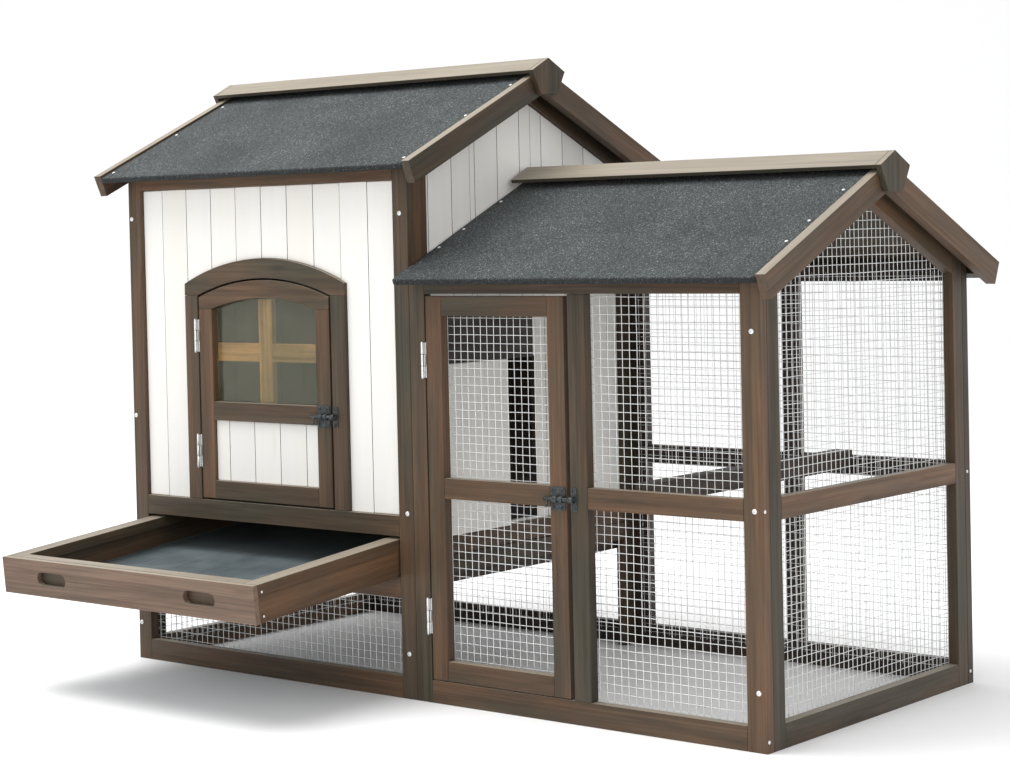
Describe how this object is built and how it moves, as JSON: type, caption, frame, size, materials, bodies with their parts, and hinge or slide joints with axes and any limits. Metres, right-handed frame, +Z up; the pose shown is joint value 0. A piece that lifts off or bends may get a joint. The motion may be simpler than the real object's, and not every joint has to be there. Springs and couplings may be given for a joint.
{
  "type": "chicken coop",
  "caption": "Raised wooden hen house with arched front door and pull-out tray, joined to a lower wire-mesh run with its own door, perch and felted gable roofs.",
  "frame": {"origin": "middle of the bounding box on the ground, with the tray pulled out as modelled", "axes": "+X from the house to the run, along the length; +Y from the front with the doors to the back; +Z up"},
  "size_m": [1.3508, 0.9608, 0.9973],
  "materials": {
    "frame_wood": "brown exterior stain, satin",
    "cap_wood": "brown exterior stain, sun-lit and thinner",
    "white_wood": "white paint, satin",
    "tray_wood": "brown exterior stain, satin",
    "pine_wood": "bare pine",
    "roof_felt": "board covered with mineral-grit bitumen felt",
    "clear_pane": "clear acrylic, slightly grey-green",
    "welded_mesh": "galvanised welded wire",
    "zinc": "bright zinc plate",
    "black_metal": "black lacquer, satin",
    "tray_sheet_metal": "blue-grey sheet metal"
  },
  "bodies": {
    "coop": {"house_back_frame": "frame_wood", "house_back_wall": "white_wood", "house_barge_back_left": "frame_wood", "house_barge_back_right": "frame_wood", "house_barge_front_left": "frame_wood", "house_barge_front_right": "frame_wood", "house_bottom_rail": "frame_wood", "house_door_casing": "frame_wood", "house_door_hinge_lower": "zinc", "house_door_hinge_upper": "zinc", "house_door_latch_keeper": "black_metal", "house_front_wall": "white_wood", "house_left_frame": "frame_wood", "house_left_wall": "white_wood", "house_post_left": "frame_wood", "house_post_right": "frame_wood", "house_ridge_cap": "cap_wood", "house_right_frame": "frame_wood", "house_right_wall": "white_wood", "house_roof_back": "roof_felt", "house_roof_front": "roof_felt", "house_sill_rail": "frame_wood", "house_top_rail": "frame_wood", "house_tray_rail": "frame_wood", "pop_door_track": "frame_wood", "run_back_frame": "frame_wood", "run_back_mesh": "welded_mesh", "run_barge_back_right": "frame_wood", "run_barge_front_right": "frame_wood", "run_corner_post": "frame_wood", "run_door_hinge_lower": "zinc", "run_door_hinge_upper": "zinc", "run_door_latch_keeper": "black_metal", "run_front_frame": "frame_wood", "run_front_mesh": "welded_mesh", "run_perch": "frame_wood", "run_ridge_cap": "cap_wood", "run_roof_back": "roof_felt", "run_roof_front": "roof_felt", "run_side_frame": "frame_wood", "run_side_mesh": "welded_mesh", "tray_runner_left": "frame_wood", "tray_runner_right": "frame_wood", "under_house_mesh_back": "welded_mesh", "under_house_mesh_front": "welded_mesh", "under_house_mesh_left": "welded_mesh"},
    "tray": {"tray_front": "tray_wood", "tray_frame": "tray_wood", "tray_sheet": "tray_sheet_metal"},
    "house_door": {"house_door_frame": "frame_wood", "house_door_panel": "white_wood", "house_door_pane": "clear_pane", "house_door_cross": "pine_wood", "house_door_latch_plate": "black_metal"},
    "house_door_bolt": {"house_door_latch_bolt": "black_metal"},
    "run_door": {"run_door_frame": "frame_wood", "run_door_mesh": "welded_mesh", "run_door_latch_plate": "black_metal"},
    "run_door_bolt": {"run_door_latch_bolt": "black_metal"},
    "pop_door": {"pop_door": "white_wood"}
  },
  "joints": [
    {"name": "tray_slide", "type": "slide", "parent": "coop", "child": "tray", "axis": [0, 0.9956, 0.0937], "range_m": [-0.15, 0.316]},
    {"name": "house_door_hinge", "type": "hinge", "parent": "coop", "child": "house_door", "pos_m": [-0.4635, -0.16455, 0.466], "axis": [0, 0, -1], "range_deg": [0, 110]},
    {"name": "house_door_bolt_slide", "type": "slide", "parent": "house_door", "child": "house_door_bolt", "axis": [1, 0, 0], "range_m": [-0.008, 0.009]},
    {"name": "run_door_hinge", "type": "hinge", "parent": "coop", "child": "run_door", "pos_m": [0.033, -0.16455, 0.33], "axis": [0, 0, -1], "range_deg": [0, 95]},
    {"name": "run_door_bolt_slide", "type": "slide", "parent": "run_door", "child": "run_door_bolt", "axis": [1, 0, 0], "range_m": [-0.008, 0.009]},
    {"name": "pop_door_slide", "type": "slide", "parent": "coop", "child": "pop_door", "axis": [0, 1, 0], "range_m": [-0.05, 0.094]}
  ]
}
